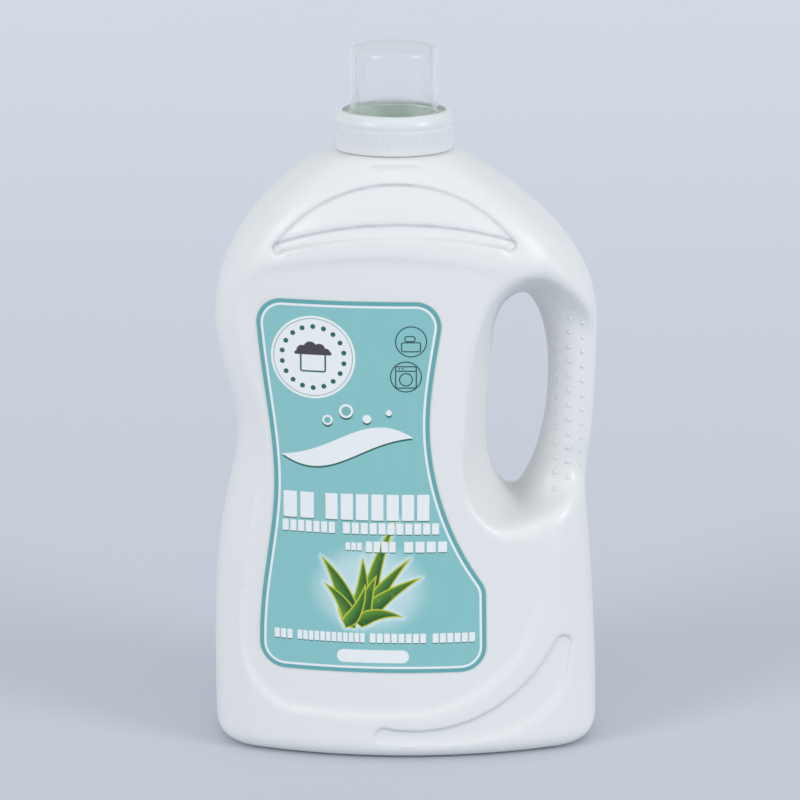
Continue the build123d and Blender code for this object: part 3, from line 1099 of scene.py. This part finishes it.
# %% The sweep with bubbles, and the rows of blocks
def sweep(print_):
    """A broad stroke that swells in the middle, with bubbles over it."""
    bubbles = [(-36.0, 164.5, 2.4), (-27.5, 169.0, 3.3), (-18.0, 165.5, 2.0), (-8.0, 168.5, 1.4)]
    hollows = [(-36.0, 164.5, 1.5), (-27.5, 169.0, 2.2)]
    for drop, colour in ((0.9, shadow_green), (0.0, paper_white)):
        bow = 152.0 - drop + 6.0 * ((print_.x + 27.0) / 13.5).sine()
        reach = (1 - ((print_.x + 27.0) / 31.0) ** 2).larger(0.0)
        print_.ink(print_.inside(abs(print_.z - bow) - 6.0 * reach + 0.3), colour)
        for x, z, radius in bubbles:
            print_.ink(print_.inside(print_.disc(x, z - drop, radius)), colour)
    for x, z, radius in hollows:
        print_.ink(print_.inside(print_.disc(x, z, radius)), field)


def text_row(print_, start, end, z, high, pitch):
    """A row of plain blocks in place of words, with a soft dark edge below each."""
    cell = (print_.x - start) % pitch - pitch / 2
    within = abs(print_.x - (start + end) / 2) - (end - start) / 2
    for drop, colour in ((0.45, shadow_green), (0.0, paper_white)):
        block = print_.block(0.0, z - drop, pitch * 0.8, high, 0.45, at=cell)
        print_.ink(print_.inside(block.larger(within), 0.12), colour)


# start and end along the label, height, letter height and pitch of each row
text_rows = [
    (-57.4, -41.8, 123.5, 12.5, 7.8), (-37.9, 11.3, 123.5, 12.5, 7.03),
    (-57.5, -32.5, 113.3, 5.4, 3.57), (-29.6, 15.5, 113.3, 5.4, 4.1),
    (-28.3, -20.3, 104.6, 3.8, 2.67), (-19.0, -4.6, 104.6, 5.2, 3.6), (-1.5, 19.3, 104.6, 5.2, 5.2),
    (-61.7, -52.7, 60.3, 4.6, 3.0), (-50.9, -19.0, 60.3, 4.6, 2.66),
    (-17.3, 9.5, 60.3, 4.6, 3.35), (11.9, 32.3, 60.3, 4.6, 3.4),
]


# %% The plant
# foot, tip, width and sideways bow of each leaf, back ones first
leaves = [
    ((-17.5, 76.0), (-3.9, 119.0), 8.5, -2.0), ((-22.0, 74.0), (-20.2, 99.8), 9.0, 1.0),
    ((-26.0, 70.0), (-39.4, 99.5), 11.0, 2.0), ((-19.0, 71.0), (2.3, 99.5), 9.5, -1.5),
    ((-20.0, 70.0), (7.4, 90.0), 10.0, -2.0), ((-25.5, 67.5), (-38.3, 86.6), 9.0, 2.0),
    ((-20.5, 70.0), (-13.6, 91.0), 9.5, -0.8), ((-21.0, 68.5), (-1.2, 70.5), 8.5, -2.5),
    ((-27.0, 67.5), (-18.9, 86.7), 8.0, 1.5),
]


def plant(print_):
    """A pale glow, then each leaf with a dark body, a bright side and a yellow edge."""
    glow = ((print_.x + 17.0) / 27.0) ** 2 + ((print_.z - 84.0) / 22.0) ** 2
    print_.ink((1 - print_.rise(glow, 0.25, 1.25)) * 0.55, glow_pale)
    shapes = [(*print_.leaf(*leaf), leaf[2]) for leaf in leaves]
    for distance, _, _ in shapes:
        print_.ink((1 - print_.rise(distance, 0.0, 2.6)) * 0.5, glow_pale)
    flecks = print_.rise(print_.noise(420.0, 2.0, 0.6), 0.55, 0.75) * 0.4
    for distance, side, width in shapes:
        body = print_.blend(print_.rise(side / width, -0.3, 0.45), leaf_green, leaf_bright)
        body = print_.blend(flecks, body, leaf_fleck)
        body = print_.blend(print_.rise(distance, -1.0, -0.3), body, leaf_edge)
        print_.colour = print_.blend(print_.inside(distance, 0.15), print_.colour, body)


# %% Print both labels
def front_print():
    """The front from its badge down to the pill shape, with the plant behind the text."""
    print_, grain = film_base("front_label_print")
    badge(print_)
    care_symbols(print_)
    sweep(print_)
    plant(print_)
    for row in text_rows:
        text_row(print_, *row)
    print_.ink(print_.inside(print_.block(-15.5, 51.3, 33.5, 6.3, 3.1)), paper_white)
    return finish_film(print_, grain)


def back_print():
    """The back carries a plain pale panel, with nothing printed in it."""
    print_, grain = film_base("back_label_print")
    print_.ink(print_.inside(print_.stored("edge_gap") * -1.0 + 8.0, 0.14), (0.66, 0.76, 0.77))
    return finish_film(print_, grain)


front_label = add_piece("front_label_film", film_mesh("front_label_film", -1), front_print(),
                        "bottle")
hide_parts("front_label")
back_label = add_piece("back_label_film", film_mesh("back_label_film", 1), back_print(),
                       "bottle")
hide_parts("back_label")

# %% [markdown]
# ## Floor and light
#
# White plastic shows its shape only by soft changes of shade, so the light is broad: a large
# soft box on each side in front, a faint one overhead, and a pale room round them. The floor
# is one sheet of pale paper, large enough to fill the view, with painted shade that makes it slightly
# darker in front.

# %% The floor
floor_finish = Finish("pale_paper", Roughness=0.65)
_, away, _ = floor_finish.axes()
# Painted shade: the paper is painted darker in front and lighter further back, with a little random tone.
share = floor_finish.rise(away * MM, -2.4, 0.6) * 0.9 + floor_finish.noise(0.9, 1.0) * 0.1
painted_shade_paper = floor_finish.blend(share, (0.56, 0.588, 0.645), (0.675, 0.707, 0.768))
floor_finish.paint("Base Color", painted_shade_paper)
floor_size = 12.0
half = floor_size / 2
corners = [(-half, -half, 0), (half, -half, 0), (half, half, 0), (-half, half, 0)]
floor_data = bpy.data.meshes.new("studio_floor")
floor_data.from_pydata(corners, [], [(0, 1, 2, 3)])
floor = bpy.data.objects.new("studio_floor", floor_data)
floor_data.materials.append(floor_finish.material)
floor.location = (0, 2.0, -0.0002)
bpy.context.scene.collection.objects.link(floor)
print("floor:", floor_size, "m")


# %% The lights
def soft_light(name, direction, spread, strength):
    """Light from far away that comes from a broad patch of the room."""
    data = bpy.data.lights.new(name, "SUN")
    data.angle = math.radians(spread)
    data.energy = strength
    light = bpy.data.objects.new(name, data)
    light.rotation_euler = (-Vector(direction)).to_track_quat("-Z", "Y").to_euler()
    bpy.context.scene.collection.objects.link(light)


soft_light("soft_box_left", (-1.0, -0.75, 0.55), 26, 1.08)
soft_light("soft_box_right", (1.05, -0.62, 0.48), 26, 1.2)
soft_light("soft_box_top", (0.05, 0.1, 1.0), 50, 0.1)
world = bpy.data.worlds.new("pale_room")
bpy.context.scene.world = world
world.use_nodes = True
room = world.node_tree.nodes["Background"]
room.inputs["Color"].default_value = (0.90, 0.95, 1.0, 1.0)
room.inputs["Strength"].default_value = 0.72
print("lights:", len(bpy.data.lights))
